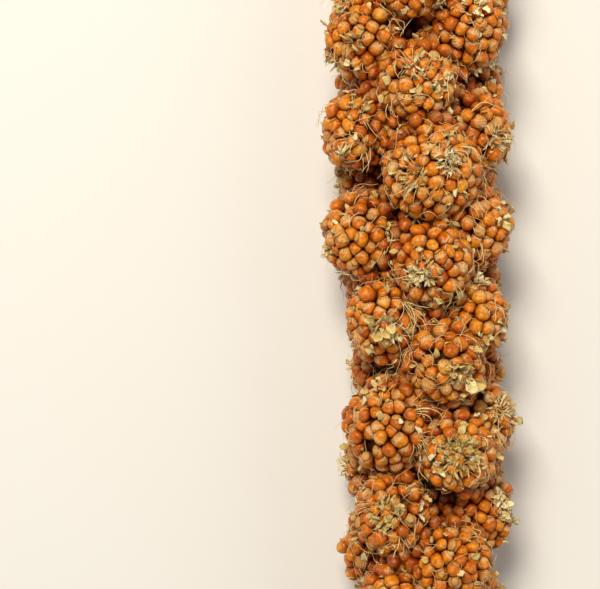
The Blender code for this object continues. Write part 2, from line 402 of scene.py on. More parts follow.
corePaint = {
    "stops": [(0.0, (0.020, 0.007, 0.002)), (0.55, (0.080, 0.027, 0.006)), (1.0, (0.20, 0.075, 0.015))],
    "mottleScale": 1100.0,
    "roughness": 0.8,
    "bump": (0.0003, 0.5),
    "specular": 0.1,
}


def coreMaterial(paint):
    # Dark stubs and husk bases between the grains: mottled browns, near black as painted shade of the gaps.
    material, tree, shader = newMaterial("core")
    patches = objectMottle(tree, paint["mottleScale"])["Patches"]
    finishMaterial(tree, shader, paint, ramp(tree, patches, paint["stops"]), patches)
    return material


huskPaint = {
    # From a petal's foot to its tip
    "stops": [(0.0, (0.22, 0.105, 0.020)), (0.35, (0.56, 0.380, 0.105)), (1.0, (0.76, 0.580, 0.220))],
    "pale": (0.91, 0.800, 0.480, 1.0),
    "olive": (0.50, 0.350, 0.080, 1.0),
    "rim": (0.88, 0.750, 0.400, 1.0),
    "line": (0.46, 0.290, 0.075, 1.0),
    "lineCount": 4.5,
    "lineStrength": 0.40,
    "mottleScale": 900.0,
    "roughness": 0.58,
}

glumePaint = {
    "stops": [(0.0, (0.36, 0.120, 0.014)), (0.40, (0.68, 0.350, 0.110)), (1.0, (0.86, 0.590, 0.310))],
    "pale": (0.93, 0.740, 0.490, 1.0),
    "olive": (0.60, 0.290, 0.060, 1.0),
    "rim": (0.94, 0.790, 0.520, 1.0),
    "line": (0.34, 0.150, 0.045, 1.0),
    "lineCount": 3.5,
    "lineStrength": 0.45,
    "mottleScale": 1100.0,
    "roughness": 0.55,
}

petalPaint = {
    # The same on husks and glumes
    "paleRange": (0.50, 1.0),  # tones
    "oliveRange": (0.40, 0.0),
    "oliveShare": 0.75,
    "rimRange": (0.6, 0.95),
    "rimShare": 0.75,
    "mottleStrength": 0.18,
    "bump": (0.00005, 0.5),
    "specular": 0.5,
}


def huskMaterial(name, paint):
    # From foot to tip, paler or more olive by the petal's tone, with lengthwise nerves and a pale rim.
    material, tree, shader = newMaterial(name)
    place = attribute(tree, "petalPlace", "Vector")
    tone = attribute(tree, "petalTone")
    parts = addNode(tree, "ShaderNodeSeparateXYZ", {0: place}).outputs
    colour = ramp(tree, parts[1], paint["stops"])
    colour = mixColour(tree, smoothStep(tree, tone, *paint["paleRange"]), colour, paint["pale"])
    oliveShare = times(tree, smoothStep(tree, tone, *paint["oliveRange"]), paint["oliveShare"])
    colour = mixColour(tree, oliveShare, colour, paint["olive"])
    lines = useGroup(tree, "fineLines", Place=place, Count=paint["lineCount"])["Lines"]
    colour = mixColour(tree, times(tree, lines, paint["lineStrength"]), colour, paint["line"])
    rim = smoothStep(tree, math2(tree, "ABSOLUTE", parts[0]), *paint["rimRange"])
    colour = mixColour(tree, times(tree, rim, paint["rimShare"]), colour, paint["rim"])
    mottle = objectMottle(tree, paint["mottleScale"], paint["mottleStrength"])
    relief = minus(tree, mottle["Patches"], lines)
    finishMaterial(tree, shader, paint, tinted(tree, colour, mottle["Tone"]), relief)
    return material


bristlePaint = {
    # From a bristle's root to its tip
    "stops": [(0.0, (0.30, 0.130, 0.025)), (0.20, (0.68, 0.410, 0.120)), (1.0, (0.82, 0.580, 0.230))],
    "pale": (0.88, 0.710, 0.380, 1.0),
    "paleRange": (0.35, 1.0),  # tones
    "mottleScale": 500.0,
    "mottleStrength": 0.12,
    "roughness": 0.45,
    "bump": (0.00002, 0.5),
    "specular": 0.5,
}


def bristleMaterial(paint):
    # Tan at the root to straw at the tip, paler by the bristle's tone.
    material, tree, shader = newMaterial("bristle")
    colour = ramp(tree, attribute(tree, "bristleAlong"), paint["stops"])
    paleShare = smoothStep(tree, attribute(tree, "bristleTone"), *paint["paleRange"])
    colour = mixColour(tree, paleShare, colour, paint["pale"])
    mottle = objectMottle(tree, paint["mottleScale"], paint["mottleStrength"])
    finishMaterial(tree, shader, paint, tinted(tree, colour, mottle["Tone"]), mottle["Patches"])
    return material


stalkPaint = {
    "stops": [(0.0, (0.24, 0.150, 0.050)), (0.5, (0.46, 0.340, 0.140)), (1.0, (0.60, 0.480, 0.240))],
    "streakStretch": (900.0, 900.0, 40.0),
    "pith": (0.70, 0.60, 0.38, 1.0),
    "mottleScale": 260.0,
    "mottleStrength": 0.16,
    "roughness": 0.5,
    "bump": (0.00008, 0.5),
    "specular": 0.5,
}


def stalkMaterial(paint):
    # Straw with streaks along its length, and paler pith on the cut end.
    material, tree, shader = newMaterial("stalk")
    inputs = {0: attribute(tree, "stalkPlace", "Vector"), 1: paint["streakStretch"]}
    stretched = addNode(tree, "ShaderNodeVectorMath", inputs, operation="MULTIPLY").outputs[0]
    streaks = useGroup(tree, "mottle", Vector=stretched, Scale=1.0)["Patches"]
    tone = objectMottle(tree, paint["mottleScale"], paint["mottleStrength"])["Tone"]
    straw = tinted(tree, ramp(tree, streaks, paint["stops"]), tone)
    colour = mixColour(tree, attribute(tree, "pith"), straw, tinted(tree, paint["pith"], tone))
    finishMaterial(tree, shader, paint, colour, streaks)
    return material


floorLook = {"size": 4.0, "colour": (0.80, 0.79, 0.77, 1.0), "roughness": 0.9}


def addFloor(look):
    material, _, shader = newMaterial("floor")
    shader.inputs["Base Color"].default_value = look["colour"]
    shader.inputs["Roughness"].default_value = look["roughness"]
    bpy.ops.mesh.primitive_plane_add(size=look["size"])
    floor = bpy.context.object
    floor.name = "floor"
    floor.data.materials.append(material)


# Templates

def ballTemplate(subdivisions):
    # A unit ball's vertices and triangles.
    bm = bmesh.new()
    bmesh.ops.create_icosphere(bm, subdivisions=subdivisions, radius=1.0)
    bm.verts.index_update()
    points = np.array([vertex.co for vertex in bm.verts])
    triangles = np.array([[vertex.index for vertex in face.verts] for face in bm.faces])
    bm.free()
    return points, triangles


def leafTemplate(rows, columns):
    # A closed thin leaf: two sheets of a grid that share their rim and narrow to a point at both ends.
    # Its points as (u, v, side), with u from -1 to 1 across, v from 0 to 1 along and side +1 on the front
    # sheet, -1 on the back one and 0 on the rim, and its triangles, which face outwards.
    along = np.arange(1, rows) / rows
    across = np.linspace(-1.0, 1.0, columns + 1)
    u, v = np.meshgrid(across, along)
    inner = (slice(None), slice(1, columns))
    front = np.arange(u.size).reshape(u.shape)
    back = front.copy()
    innerCount = u[inner].size
    back[inner] = u.size + np.arange(innerCount).reshape(rows - 1, columns - 1)
    side = np.zeros(u.shape)
    side[inner] = 1.0
    points = np.concatenate([
        np.column_stack([u.ravel(), v.ravel(), side.ravel()]),
        np.column_stack([u[inner].ravel(), v[inner].ravel(), -np.ones(innerCount)]),
        [(0.0, 0.0, 0.0), (0.0, 1.0, 0.0)],
    ])
    foot, tip = len(points) - 2, len(points) - 1
    triangles = []
    for grid, flip in ((front, False), (back, True)):
        lowLeft, lowRight = grid[:-1, :-1].ravel(), grid[:-1, 1:].ravel()
        highLeft, highRight = grid[1:, :-1].ravel(), grid[1:, 1:].ravel()
        made = np.concatenate([
            np.stack([lowLeft, lowRight, highRight], axis=1),
            np.stack([lowLeft, highRight, highLeft], axis=1),
            np.stack([np.full(columns, foot), grid[0, 1:], grid[0, :-1]], axis=1),
            np.stack([np.full(columns, tip), grid[-1, :-1], grid[-1, 1:]], axis=1),
        ])
        triangles.append(made[:, ::-1] if flip else made)
    return points, np.concatenate(triangles)


def copiesOf(template, middles, axes, sizes):
    # Copies of a template's points, or of one set each, scaled, turned by their axes (columns) and moved.
    return middles[:, None, :] + np.einsum("nij,npj->npi", axes, template * sizes[:, None, :])


def repeatedTriangles(triangles, count, pointsEach):
    return (triangles[None] + pointsEach * np.arange(count)[:, None, None]).reshape(-1, 3)


def tubeTriangles(rings, sides):
    # The wall of a tube whose points are rings one after another.
    loop = np.arange(sides)
    ring = sides * np.arange(rings - 1)[:, None]
    here, following = ring + loop, ring + (loop + 1) % sides
    near = np.stack([here, following, following + sides], axis=-1)
    far = np.stack([here, following + sides, here + sides], axis=-1)
    return np.stack([near, far], axis=1).reshape(-1, 3)


def addPiece(name, parts, replaced):
    # One mesh from several parts, each (points, triangles, material, {attribute: values}), riding on the
    # CAD body in place of a CAD node.
    mesh = bpy.data.meshes.new(name)
    offsets = np.cumsum([0] + [len(part[0]) for part in parts])
    points = np.concatenate([part[0] for part in parts])
    triangles = np.concatenate([part[1] + offset for part, offset in zip(parts, offsets, strict=False)])
    mesh.from_pydata(points.tolist(), [], triangles.tolist())
    mesh.polygons.foreach_set("use_smooth", np.ones(len(triangles), bool))
    slots = np.repeat(np.arange(len(parts)), [len(part[1]) for part in parts])
    for part in parts:
        mesh.materials.append(part[2])
    mesh.polygons.foreach_set("material_index", slots.astype(np.int32))
    for number, (partPoints, _, _, attributes) in enumerate(parts):
        for key, values in attributes.items():
            vector = values.ndim == 2
            kind, field = ("FLOAT_VECTOR", "vector") if vector else ("FLOAT", "value")
            held = mesh.attributes.get(key) or mesh.attributes.new(key, kind, "POINT")
            filled = np.zeros((len(points), 3) if vector else len(points), np.float32)
            filled[offsets[number] : offsets[number] + len(partPoints)] = values
            held.data.foreach_set(field, filled.ravel())
    mesh.update()
    piece = bpy.data.objects.new(name, mesh)
    bpy.context.scene.collection.objects.link(piece)
    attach(piece, "root")
    if replaced:
        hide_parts(replaced)
    return len(triangles)


# The clusters' bodies

bodyLook = {
    "sharpness": 22.0,  # of the bell that smooths the CAD body's relief
    "spikeShare": 1.22,  # a vertex this far out, as a share of the median, is a bristle's tip
    "spikesAbove": -0.3,  # and this far outwards
    "coreShare": 0.80,
    "coreFloor": 0.0004,
    "floorGap": 0.00003,
}


def readBody(name):
    # The CAD body as a centre with directions and radii. The centre is that of the best-fitting sphere.
    points = pointsOf(nodes[name])
    centre = points.mean(0)
    for _ in range(3):
        away = np.linalg.norm(points - centre, axis=1)
        near = points[away < bodyLook["spikeShare"] * np.median(away)]
        system = np.column_stack([2.0 * near, np.ones(len(near))])
        centre = np.linalg.lstsq(system, (near**2).sum(1), rcond=None)[0][:3]
    onAxis = stalkAxis(np.maximum(centre[1:2], stalkPoints[:, 1].min()))[0]
    outward = unit(centre - onAxis)
    offsets = points - centre
    radii = np.linalg.norm(offsets, axis=1)
    middleRadius = np.median(radii)
    spikes = radii > bodyLook["spikeShare"] * middleRadius
    spikes &= offsets @ outward > bodyLook["spikesAbove"] * middleRadius
    guide = towardsTip if abs(outward[1]) < 0.9 else np.array((0.0, 0.0, 1.0))
    along = unit(guide - outward * (guide @ outward))
    return {
        "number": int(name.split("_")[1]),
        "centre": centre,
        "radius": middleRadius,
        "directions": unit(offsets[~spikes]),
        "radii": radii[~spikes],
        "axes": np.column_stack([np.cross(along, outward), along, outward]),
    }


def surfaceRadius(body, directions):
    # The body's radius in these directions: the mean of its vertices' radii, weighted by a bell of angle.
    weight = np.exp(bodyLook["sharpness"] * (directions @ body["directions"].T - 1.0))
    return (weight @ body["radii"]) / weight.sum(-1)


def spreadDirections(body, count, capAngle, rng, jitter):
    # Directions a golden angle apart, even over a cap round the outward direction.
    share = (np.arange(count) + 0.5) / count
    cosPolar = 1.0 - (1.0 - math.cos(capAngle)) * share
    sinPolar = np.sqrt(1.0 - cosPolar**2)
    azimuth = rng.uniform(0.0, 2.0 * math.pi) + goldenAngle * np.arange(count)
    local = np.stack([sinPolar * np.cos(azimuth), sinPolar * np.sin(azimuth), cosPolar], axis=1)
    local = unit(local + jitter * rng.uniform(-1.0, 1.0, local.shape))
    return local @ body["axes"].T


def acrossFrom(vectors, normals):
    # What each vector has across its normal, at length 1.
    return unit(vectors - normals * (vectors * normals).sum(-1, keepdims=True))


def tangentsOf(directions, rng, bias=0.0):
    # A random direction across each one, drawn towards the head's tip by bias.
    return acrossFrom(rng.normal(size=directions.shape) + bias * towardsTip, directions)


def axesFrom(forward, outward, unevenness, rng):
    # Axes with their third column forward and their second turned to the outside, more or less.
    second = acrossFrom(outward + unevenness * rng.normal(size=outward.shape), forward)
    return np.stack([np.cross(second, forward), second, forward], axis=-1)


def directionAbove(body, flat, least):
    # The way from a body's centre to its ball's point above these places across and along from it.
    flat = flat / body["radius"]
    up = np.sqrt(np.maximum(1.0 - (flat**2).sum(-1, keepdims=True), least))
    return unit(np.concatenate([flat, up], axis=-1))


def capArea(body, capAngle):
    return 2.0 * math.pi * (1.0 - math.cos(capAngle)) * body["radius"] ** 2


def groundEach(spacing):
    # What each of a layer of close-packed points takes: half the root of 3 of the spacing squared.
    return 0.866 * spacing**2


def aboveFloor(points, gap):
    # Whole copies lifted until their lowest point is at this height.
    lift = np.maximum(gap - points[..., 2].min(axis=1), 0.0)
    points[..., 2] += lift[:, None]
    return points


# Grains

grainLook = {
    "spacing": 0.00197,
    "capAngle": math.radians(142.0),
    "jitter": 0.045,
    "halfSize": (0.00107, 0.00101, 0.00117),
    "sizeRange": (0.86, 1.12),
    "dent": 0.060,  # how uneven a grain is, as a share of its radius
    "sunk": 0.00038,  # middle below the body's mean surface
    "unevenness": 0.00022,
    "proud": (0.07, 0.0006),  # share of grains that stand out further, and by how much
    "neighbours": 9,  # that press a grain flat where they touch it
    "pressGap": 0.00004,
    "pressSoftness": 0.00005,
    "tiltRange": (math.radians(35.0), math.radians(80.0)),
    "tipBias": 2.0,
    "turnUnevenness": 0.6,
    "missingShare": 0.018,
    "squeezed": 0.60,  # none where a neighbour presses the body below this share of its radius
    "toneReach": 0.9,
    "toneEvenness": 2.4,  # how few grains are very dark or very pale
    "clusterToneSpread": 0.08,
    "strawShare": 0.009,
    "strawTone": (0.9, 1.0),
    # Painted shade, more on a body's flank than on its crown
    "flankPaintedShade": 0.60,  # how much deeper in shade a grain on a body's flank is than one on its crown
    "flankStart": 0.7,  # cosine of the angle from the crown
    "filmEdgeRange": (-0.50, 0.32),
    "bareShare": 0.17,  # of the grains, without film
    "bareEdge": -3.0,
    "taper": (0.10, 0.05),  # how much slimmer a grain is towards its tip
    "tipPoint": 0.07,
    "dentWave": 2.8,
}


def dressGrains(directions, middles, depth, rng, sizeShare=1.0):
    # The grains at these middles, each tilted from its direction, with a tone and perhaps a film. Depth is
    # how far in the head they are, from 0 on a cluster's crown, and sets how much painted shade darkens them.
    look = grainLook
    count = len(directions)
    tilt = rng.uniform(*look["tiltRange"], count)[:, None]
    forward = directions * np.cos(tilt) + tangentsOf(directions, rng, look["tipBias"]) * np.sin(tilt)
    tone = rng.beta(look["toneEvenness"], look["toneEvenness"], count) * look["toneReach"]
    tone = tone + look["clusterToneSpread"] * rng.uniform(-1.0, 1.0)
    tone = np.where(rng.random(count) < look["strawShare"], rng.uniform(*look["strawTone"], count), tone)
    filmEdge = rng.uniform(*look["filmEdgeRange"], count)
    return {
        "middles": middles,
        "outward": directions,
        "depth": depth,
        "axes": axesFrom(unit(forward), directions, look["turnUnevenness"], rng),
        "sizes": sizeShare * np.array(look["halfSize"]) * rng.uniform(*look["sizeRange"], (count, 1)),
        "tone": np.clip(tone, 0.0, 1.0),
        "filmEdge": np.where(rng.random(count) < look["bareShare"], look["bareEdge"], filmEdge),
    }


def placeGrains(body, rng):
    # Grains evenly over the body, at uneven depths.
    look = grainLook
    count = round(capArea(body, look["capAngle"]) / groundEach(look["spacing"]))
    directions = spreadDirections(body, count, look["capAngle"], rng, look["jitter"])
    radius = surfaceRadius(body, directions)
    missing = rng.random(count) < look["missingShare"]
    directions = directions[(radius > look["squeezed"] * body["radius"]) & ~missing]
    radius = surfaceRadius(body, directions)
    count = len(directions)
    depth = look["sunk"] + look["unevenness"] * rng.uniform(-1.0, 1.0, count)
    depth = depth - look["proud"][1] * (rng.random(count) < look["proud"][0])
    middles = body["centre"] + directions * (radius - depth)[:, None]
    # Painted shade, more on the body's flanks
    flank = np.maximum(look["flankStart"] - directions @ body["axes"][:, 2], 0.0)
    return dressGrains(directions, middles, look["flankPaintedShade"] * flank, rng)


fineBall, coarseBall, coreBall = (ballTemplate(subdivisions) for subdivisions in (2, 1, 3))


def pressed(points, grains, chosen, gap):
    # The chosen grains' points, brought back where they reach past the plane between the grain and a
    # neighbour, less the gap: by softness x ln(1 + e^(distance past it / softness)).
    look = grainLook
    middles, size = grains["middles"], grains["sizes"].mean(axis=1)
    own, ownSize = middles[chosen], size[chosen]
    away = np.linalg.norm(own[:, None] - middles[None], axis=2)
    offsets = points - own[:, None]
    for neighbour in np.argsort(away, axis=1)[:, 1 : look["neighbours"] + 1].T:
        direction = middles[neighbour] - own
        distance = np.linalg.norm(direction, axis=1, keepdims=True)
        direction = direction / distance
        plane = distance * (ownSize / (ownSize + size[neighbour]))[:, None] - gap
        past = (np.einsum("npi,ni->np", offsets, direction) - plane) / look["pressSoftness"]
        push = look["pressSoftness"] * np.logaddexp(0.0, past)
        offsets = offsets - push[..., None] * direction[:, None]
    return offsets + own[:, None]


def grainPart(grains, materials, rng, ball=fineBall):
    # The grains, each a ball that is slimmer towards its tip. Its dents are two waves across it at random
    # slants: radius x (1 + dent x sin(2.8 x distance along the slant + phase)).
    look = grainLook
    ballPoints, ballTriangles = ball
    count, each = len(grains["middles"]), len(ballPoints)
    shape = ballPoints.copy()
    shape[:, :2] *= 1.0 - look["taper"][0] * ballPoints[:, 2:] - look["taper"][1] * ballPoints[:, 2:] ** 2
    shape[:, 2] += look["tipPoint"] * np.maximum(ballPoints[:, 2], 0.0) ** 6
    shapes = np.repeat(shape[None], count, axis=0)
    for _ in range(2):
        slant = unit(rng.normal(size=(count, 3)))
        wave = np.sin(look["dentWave"] * slant @ ballPoints.T + rng.uniform(*phases, (count, 1)))
        shapes *= (1.0 + look["dent"] * wave)[..., None]
    points = copiesOf(shapes, grains["middles"], grains["axes"], grains["sizes"])
    points = pressed(points, grains, np.arange(count), look["pressGap"])
    height = np.einsum("npi,ni->np", points - grains["middles"][:, None], grains["outward"])
    points = aboveFloor(points, bodyLook["floorGap"])
    attributes = {
        # Height towards the outside, less the depth, which sets the painted shade in the grain material
        "heightForPaintedShade": (height / grains["sizes"].mean(axis=1, keepdims=True) - grains["depth"][:, None]).ravel(),
        "grainPlace": np.tile(ballPoints, (count, 1)),
        "grainTone": np.repeat(grains["tone"], each),
        "filmEdge": np.repeat(grains["filmEdge"], each),
    }
    triangles = repeatedTriangles(ballTriangles, count, each)
    return points.reshape(-1, 3), triangles, materials["grain"], attributes


def corePart(body, materials):
    # The core that a cluster's grains stand on, dark with painted shade.
    ballPoints, triangles = coreBall
    points = body["centre"] + ballPoints * (surfaceRadius(body, ballPoints) * bodyLook["coreShare"])[:, None]
    points[:, 2] = np.maximum(points[:, 2], bodyLook["coreFloor"])
    return points, triangles, materials["core"], {}


innerLook = {
    "fromAxis": (0.0024, 0.0046),
    "slant": (-0.5, 0.5),  # along the stalk
    "endMargin": 0.004,
    # How much painted shade the grains round the stalk get
    "depth": 1.0,
    "sizeShare": 0.9,
}


def innerGrains(rng):
    # Grains round the stalk, between the clusters: a golden angle apart, at uneven distances from it.
    look = innerLook
    ends = [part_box(clusterNames[0])[1].y - look["endMargin"], stalkPoints[:, 1].min() + look["endMargin"]]
    area = 2.0 * math.pi * (sum(look["fromAxis"]) / 2.0) * (ends[0] - ends[1])
    count = round(area / groundEach(grainLook["spacing"]))
    angle = goldenAngle * np.arange(count)
    outward = np.stack([np.cos(angle), rng.uniform(*look["slant"], count), np.sin(angle)], axis=1)
    outward = unit(outward)
    middles = stalkAxis(np.linspace(*ends, count)) + outward * rng.uniform(*look["fromAxis"], (count, 1))
    return dressGrains(outward, middles, np.full(count, look["depth"]), rng, look["sizeShare"])


creviceLook = {
    "spacing": 0.00180,
    "jitter": 0.00035,
    "nearest": (1.06, 1.32),  # distance from the nearest body's middle, as a share of its radius there
    "second": 1.36,  # most distance from the second nearest
    "fromAxis": (0.0046, 0.0086),  # of the stalk, beside a body of middling size
    "margin": 0.003,  # of the lattice past the outermost bodies' middles
    "reach": 2.0,  # radii past which a body isn't measured, and what counts as its distance there
    "beyond": 9.0,
    # How much painted shade the crevice grains get
    "depth": 0.65,
    "sizeShare": 0.87,
}


def creviceGrains(bodies, rng):
    # Grains in the crevices: the points of a close-packed lattice (whole-number places with an even sum)
    # that are just outside two bodies.
    look = creviceLook
    centres = np.stack([body["centre"] for body in bodies])
    step = look["spacing"] / math.sqrt(2.0)
    low, high = centres.min(0) - look["margin"], centres.max(0) + look["margin"]
    counts = np.indices(np.ceil((high - low) / step).astype(int)).reshape(3, -1).T
    points = low + step * counts[counts.sum(1) % 2 == 0]
    points = points + look["jitter"] * rng.uniform(-1.0, 1.0, points.shape)
    ratios = np.full((len(bodies), len(points)), look["beyond"])
    for number, body in enumerate(bodies):
        offsets = points - body["centre"]
        away = np.linalg.norm(offsets, axis=1)
        near = away < look["reach"] * body["radius"]
        ratios[number, near] = away[near] / surfaceRadius(body, unit(offsets[near]))
    radii = np.array([body["radius"] for body in bodies])
    size = radii[ratios.argmin(0)] / np.median(radii)
    first, second = np.sort(ratios, axis=0)[:2]
    outward = points - stalkAxis(points[:, 1])
    fromAxis = np.linalg.norm(outward, axis=1)
    inCrevice = (first > look["nearest"][0]) & (first < look["nearest"][1]) & (second < look["second"])
    kept = inCrevice & (fromAxis > look["fromAxis"][0] * size) & (fromAxis < look["fromAxis"][1] * size)
    print("crevice grains:", kept.sum())
    depth = np.full(kept.sum(), look["depth"])
    return dressGrains(unit(outward[kept]), points[kept], depth, rng, look["sizeShare"])


# Glumes round the grains, and tufts of empty husks

glumeLook = {
    "share": 0.50,  # of the grains
    # How far up the grain each kind reaches, and its half width, as angles on the grain
    "shapes": [
        (math.radians(108.0), math.radians(44.0)),
        (math.radians(86.0), math.radians(60.0)),
        (math.radians(64.0), math.radians(76.0)),
    ],
    "gap": 0.060,  # off the grain, as a share of its size
    "thickness": 0.035,
    "flare": 0.18,
    "foot": 0.12,  # angle on the grain at which a glume starts
}

glumeLeaf, glumeTriangles = leafTemplate(4, 4)


def glumeShape(reach, halfWidth):
    # A leaf wrapped round a unit ball from its base: v runs up from the base by reach, u goes round the
    # ball's +Y side by halfWidth x sqrt(v) x sqrt(1 - v^3), and the tip flares away by flare x v^5.
    across, along, side = glumeLeaf.T
    polar = glumeLook["foot"] + reach * along
    width = halfWidth * np.sqrt(along) * np.sqrt(1.0 - along**3)
    azimuth = across * np.minimum(width / np.sin(polar), math.pi / 2.0)
    radius = 1.0 + glumeLook["gap"] + glumeLook["thickness"] * side * np.sin(math.pi * along)
    radius = radius + glumeLook["flare"] * along**5
    around = np.sin(polar) * radius
    points = np.stack([around * np.sin(azimuth), around * np.cos(azimuth), -np.cos(polar) * radius], axis=1)
    return points, np.column_stack([across, along, np.zeros(len(along))])


glumeShapes = [glumeShape(*shape) for shape in glumeLook["shapes"]]


petalLeaf, petalTriangles = leafTemplate(5, 4)
petalPlace = np.column_stack([petalLeaf[:, :2], np.zeros(len(petalLeaf))])

huskKinds = {
    # How many husks stand on a square metre; then the ranges of their length, their half width as a share
    # of it, their lean from the surface's normal, how far they cup, curl and twist, in radians. A cup below
    # zero has its hollow side down. Curl and twist go either way.
    "cups": (2.8e6, (0.0010, 0.0017), (0.26, 0.42), (0.40, 1.40), (0.9, 1.5), (0.4, 1.8), (0.0, 0.9)),
    "shreds": (6.5e6, (0.0009, 0.0020), (0.06, 0.18), (0.30, 1.60), (0.3, 1.3), (0.3, 2.2), (0.0, 1.8)),
    "bowls": (1.1e6, (0.0017, 0.0024), (0.42, 0.52), (0.20, 0.90), (1.2, 1.5), (0.3, 0.8), (0.0, 0.3)),
    "single": (1.0e6, (0.0011, 0.0015), (0.40, 0.50), (1.00, 1.45), (-1.4, -1.0), (0.3, 0.9), (0.0, 0.2)),
    "flake": (1.0e6, (0.0009, 0.0019), (0.28, 0.52), (0.60, 1.50), (0.5, 1.3), (0.3, 1.5), (0.0, 0.7)),
}


petalLook = {"wave": 0.22, "ruffle": 0.3, "straightAt": 0.3, "halfThickness": 0.00003}


def petalPoints(length, halfWidth, cup, curl, twist, phase):
    # Boat-shaped leaves with a wavy rim, from their foot at the origin along +Z. Half width = halfWidth x
    # sqrt(v) x (1 - v^3)^0.6 x a slow wave. Across, a leaf is part of a tube that curves through the cup
    # angle either way; along, it bends by the curl angle; its cross-section turns by twist from foot to tip.
    look = petalLook
    across, along, side = petalLeaf.T
    width = halfWidth * np.sqrt(along) * (1.0 - along**3) ** 0.6
    width = width * (1.0 + look["wave"] * np.sin(8.0 * along + phase))
    angle = across * cup
    x = width * np.sin(angle) / np.sin(cup)
    ruffle = look["ruffle"] * across**2 * np.sin(17.0 * along + 2.0 * across + phase)
    y = width * ((1.0 - np.cos(angle)) / np.sin(cup) + ruffle)
    turn = twist * along
    start, bend = look["straightAt"] * curl, curl * (along - look["straightAt"])
    bow = length * (np.cos(start) - np.cos(bend)) / curl
    bow = bow - look["halfThickness"] * side * np.sin(math.pi * along)
    z = length * (np.sin(bend) + np.sin(start)) / curl
    turnedX, turnedY = x * np.cos(turn) - y * np.sin(turn), x * np.sin(turn) + y * np.cos(turn)
    return np.stack([turnedX, turnedY + bow, z], axis=-1)


tuftLook = {
    # Tufts on the clusters that face the camera: millimetres across and along from the cluster's middle,
    # seen from above, the tuft's radius, its kind and its tone (0 golden, 1 pale)
    "placed": {
        13: [(-0.4, 1.2, 1.5, "shreds", 0.6), (2.3, -1.1, 1.3, "cups", 0.9)],
        16: [(-1.6, 0.4, 0.6, "single", 0.2), (2.6, -1.6, 1.8, "shreds", 0.8)],
        18: [(-0.3, 2.3, 1.2, "shreds", 0.5), (-3.1, -1.5, 0.5, "single", 0.3)],
        21: [
            (1.7, 1.6, 1.1, "shreds", 1.0), (2.3, 0.4, 1.4, "shreds", 0.95), (1.9, 1.0, 0.7, "cups", 1.0),
            (-2.6, -1.4, 1.6, "shreds", 0.25), (2.0, 4.6, 0.8, "cups", 0.3), (3.2, -2.6, 0.5, "single", 0.6),
        ],
        23: [
            (3.2, 0.5, 0.9, "cups", 0.5), (1.7, 3.9, 0.5, "single", 0.9), (-4.3, -2.3, 0.9, "cups", 0.8),
        ],
        24: [(-1.2, -2.8, 0.7, "single", 0.9), (3.6, 1.0, 1.0, "cups", 0.8)],
        26: [
            (-1.7, -1.0, 1.9, "shreds", 0.7), (-1.9, -1.4, 1.0, "cups", 0.9), (0.7, -3.6, 0.9, "cups", 0.2),
            (3.4, 2.2, 0.5, "single", 0.9),
        ],
        28: [
            (-0.6, -0.4, 1.4, "bowls", 0.4), (0.0, -1.2, 1.7, "shreds", 0.8), (-1.8, -3.1, 0.4, "single", 1),
        ],
        29: [
            (0.3, 4.2, 1.4, "cups", 0.9), (0.8, -2.7, 1.0, "cups", 0.7), (3.2, -2.0, 0.5, "single", 1.0),
        ],
        31: [
            (0.7, 0.0, 0.9, "bowls", 0.5), (1.7, -0.9, 1.1, "bowls", 0.6), (3.0, -1.9, 1.0, "bowls", 0.8),
            (2.2, -1.0, 1.4, "shreds", 0.6),
        ],
        34: [(2.7, 1.2, 2.0, "shreds", 0.8)],
        36: [
            (0.5, 1.3, 0.5, "single", 1.0), (-1.7, 5.0, 0.8, "cups", 0.4), (-1.7, -4.0, 0.5, "single", 0.6),
        ],
        39: [
            (-0.6, 0.6, 1.7, "cups", 0.2), (0.3, -0.2, 2.7, "shreds", 0.3), (-2.3, -1.7, 0.9, "cups", 0.8),
        ],
        41: [
            (-0.7, 0.9, 1.3, "cups", 0.5), (-1.3, 0.5, 2.2, "shreds", 0.4), (3.4, 0.6, 0.8, "cups", 1.0),
        ],
    },
    "perCluster": 1.3,  # on the others, at random
    "kinds": ["cups", "shreds"],
    "capAngle": math.radians(75.0),
    "jitter": 0.5,
    "radius": (0.0009, 0.0020),
    "tone": (0.1, 1.0),
    "loose": {"single": 4, "flake": 24},  # on every cluster
    "looseAngle": math.radians(105.0),
    "looseJitter": 0.4,
    "looseTone": (0.1, 0.95),
    "footSpread": 0.85,  # how far from a tuft's middle its husks stand, as a share of its radius
    "footHeight": (0.0, 0.0004),
    "toneSpread": 0.3,
    "disorder": 1.2,  # how differently a tuft's husks lean
}


def tuftSpots(body, rng):
    # The cluster's tufts: (direction, radius, kind, tone) each. A placed tuft's direction is that of the
    # point of the cluster's ball that is above its place.
    look = tuftLook
    placed = look["placed"].get(body["number"])
    if placed:
        spots = [
            (directionAbove(body, np.array((across, along)) / 1000.0, 0.1), radius / 1000.0, kind, tone)
            for across, along, radius, kind, tone in placed
        ]
    else:
        count = rng.poisson(look["perCluster"])
        spots = [
            (direction, rng.uniform(*look["radius"]), rng.choice(look["kinds"]), rng.uniform(*look["tone"]))
            for direction in spreadDirections(body, count + 1, look["capAngle"], rng, look["jitter"])[:count]
        ]
    for kind, count in look["loose"].items():
        loose = spreadDirections(body, count, look["looseAngle"], rng, look["looseJitter"])
        spots += [(direction, 0.0, kind, rng.uniform(*look["looseTone"])) for direction in loose]
    return spots


